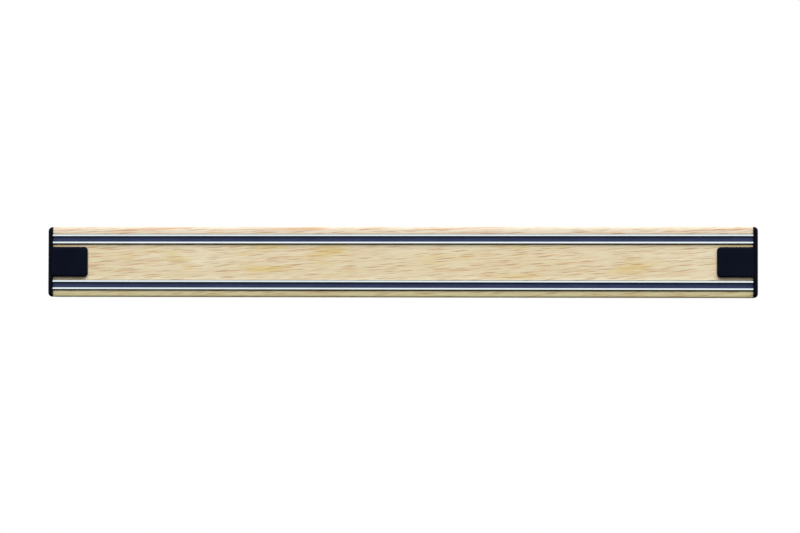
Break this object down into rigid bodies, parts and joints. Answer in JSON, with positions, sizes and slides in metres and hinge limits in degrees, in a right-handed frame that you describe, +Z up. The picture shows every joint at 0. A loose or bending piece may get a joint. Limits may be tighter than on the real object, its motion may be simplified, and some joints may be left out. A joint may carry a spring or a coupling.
{
  "type": "magnetic knife rack",
  "caption": "Long wooden batten for a wall, with two steel and magnet rails that hold knives flat, closed by push-on plastic end caps that hide its wall screws.",
  "frame": {"origin": "centre of the batten's flat back face, where it lies on the wall", "axes": "+X along the rack to the right as seen from the front, +Y into the wall, +Z up"},
  "size_m": [0.45, 0.02, 0.0446],
  "materials": {
    "batten_wood": "pale rubberwood, sanded, thin matt lacquer",
    "strip_steel": "drawn along its length, bright",
    "infill_plastic": "dark blue grey, satin",
    "magnet_ferrite": "ground ferrite, dark grey",
    "cap_plastic": "black, fine moulded texture"
  },
  "bodies": {
    "rack": {"batten": "batten_wood", "upper_rail_top_strip": "strip_steel", "upper_rail_bottom_strip": "strip_steel", "upper_rail_infill": "infill_plastic", "upper_magnet_1": "magnet_ferrite", "upper_magnet_2": "magnet_ferrite", "upper_magnet_3": "magnet_ferrite", "upper_magnet_4": "magnet_ferrite", "upper_magnet_5": "magnet_ferrite", "upper_magnet_6": "magnet_ferrite", "upper_magnet_7": "magnet_ferrite", "upper_magnet_8": "magnet_ferrite", "lower_rail_top_strip": "strip_steel", "lower_rail_bottom_strip": "strip_steel", "lower_rail_infill": "infill_plastic", "lower_magnet_1": "magnet_ferrite", "lower_magnet_2": "magnet_ferrite", "lower_magnet_3": "magnet_ferrite", "lower_magnet_4": "magnet_ferrite", "lower_magnet_5": "magnet_ferrite", "lower_magnet_6": "magnet_ferrite", "lower_magnet_7": "magnet_ferrite", "lower_magnet_8": "magnet_ferrite"},
    "left_cap": {"left_end_cap": "cap_plastic"},
    "right_cap": {"right_end_cap": "cap_plastic"}
  },
  "joints": [
    {"name": "left_cap_pull_off", "type": "slide", "parent": "rack", "child": "left_cap", "axis": [-1, 0, 0], "range_m": [0, 0.03]},
    {"name": "right_cap_pull_off", "type": "slide", "parent": "rack", "child": "right_cap", "axis": [1, 0, 0], "range_m": [0, 0.03]}
  ]
}
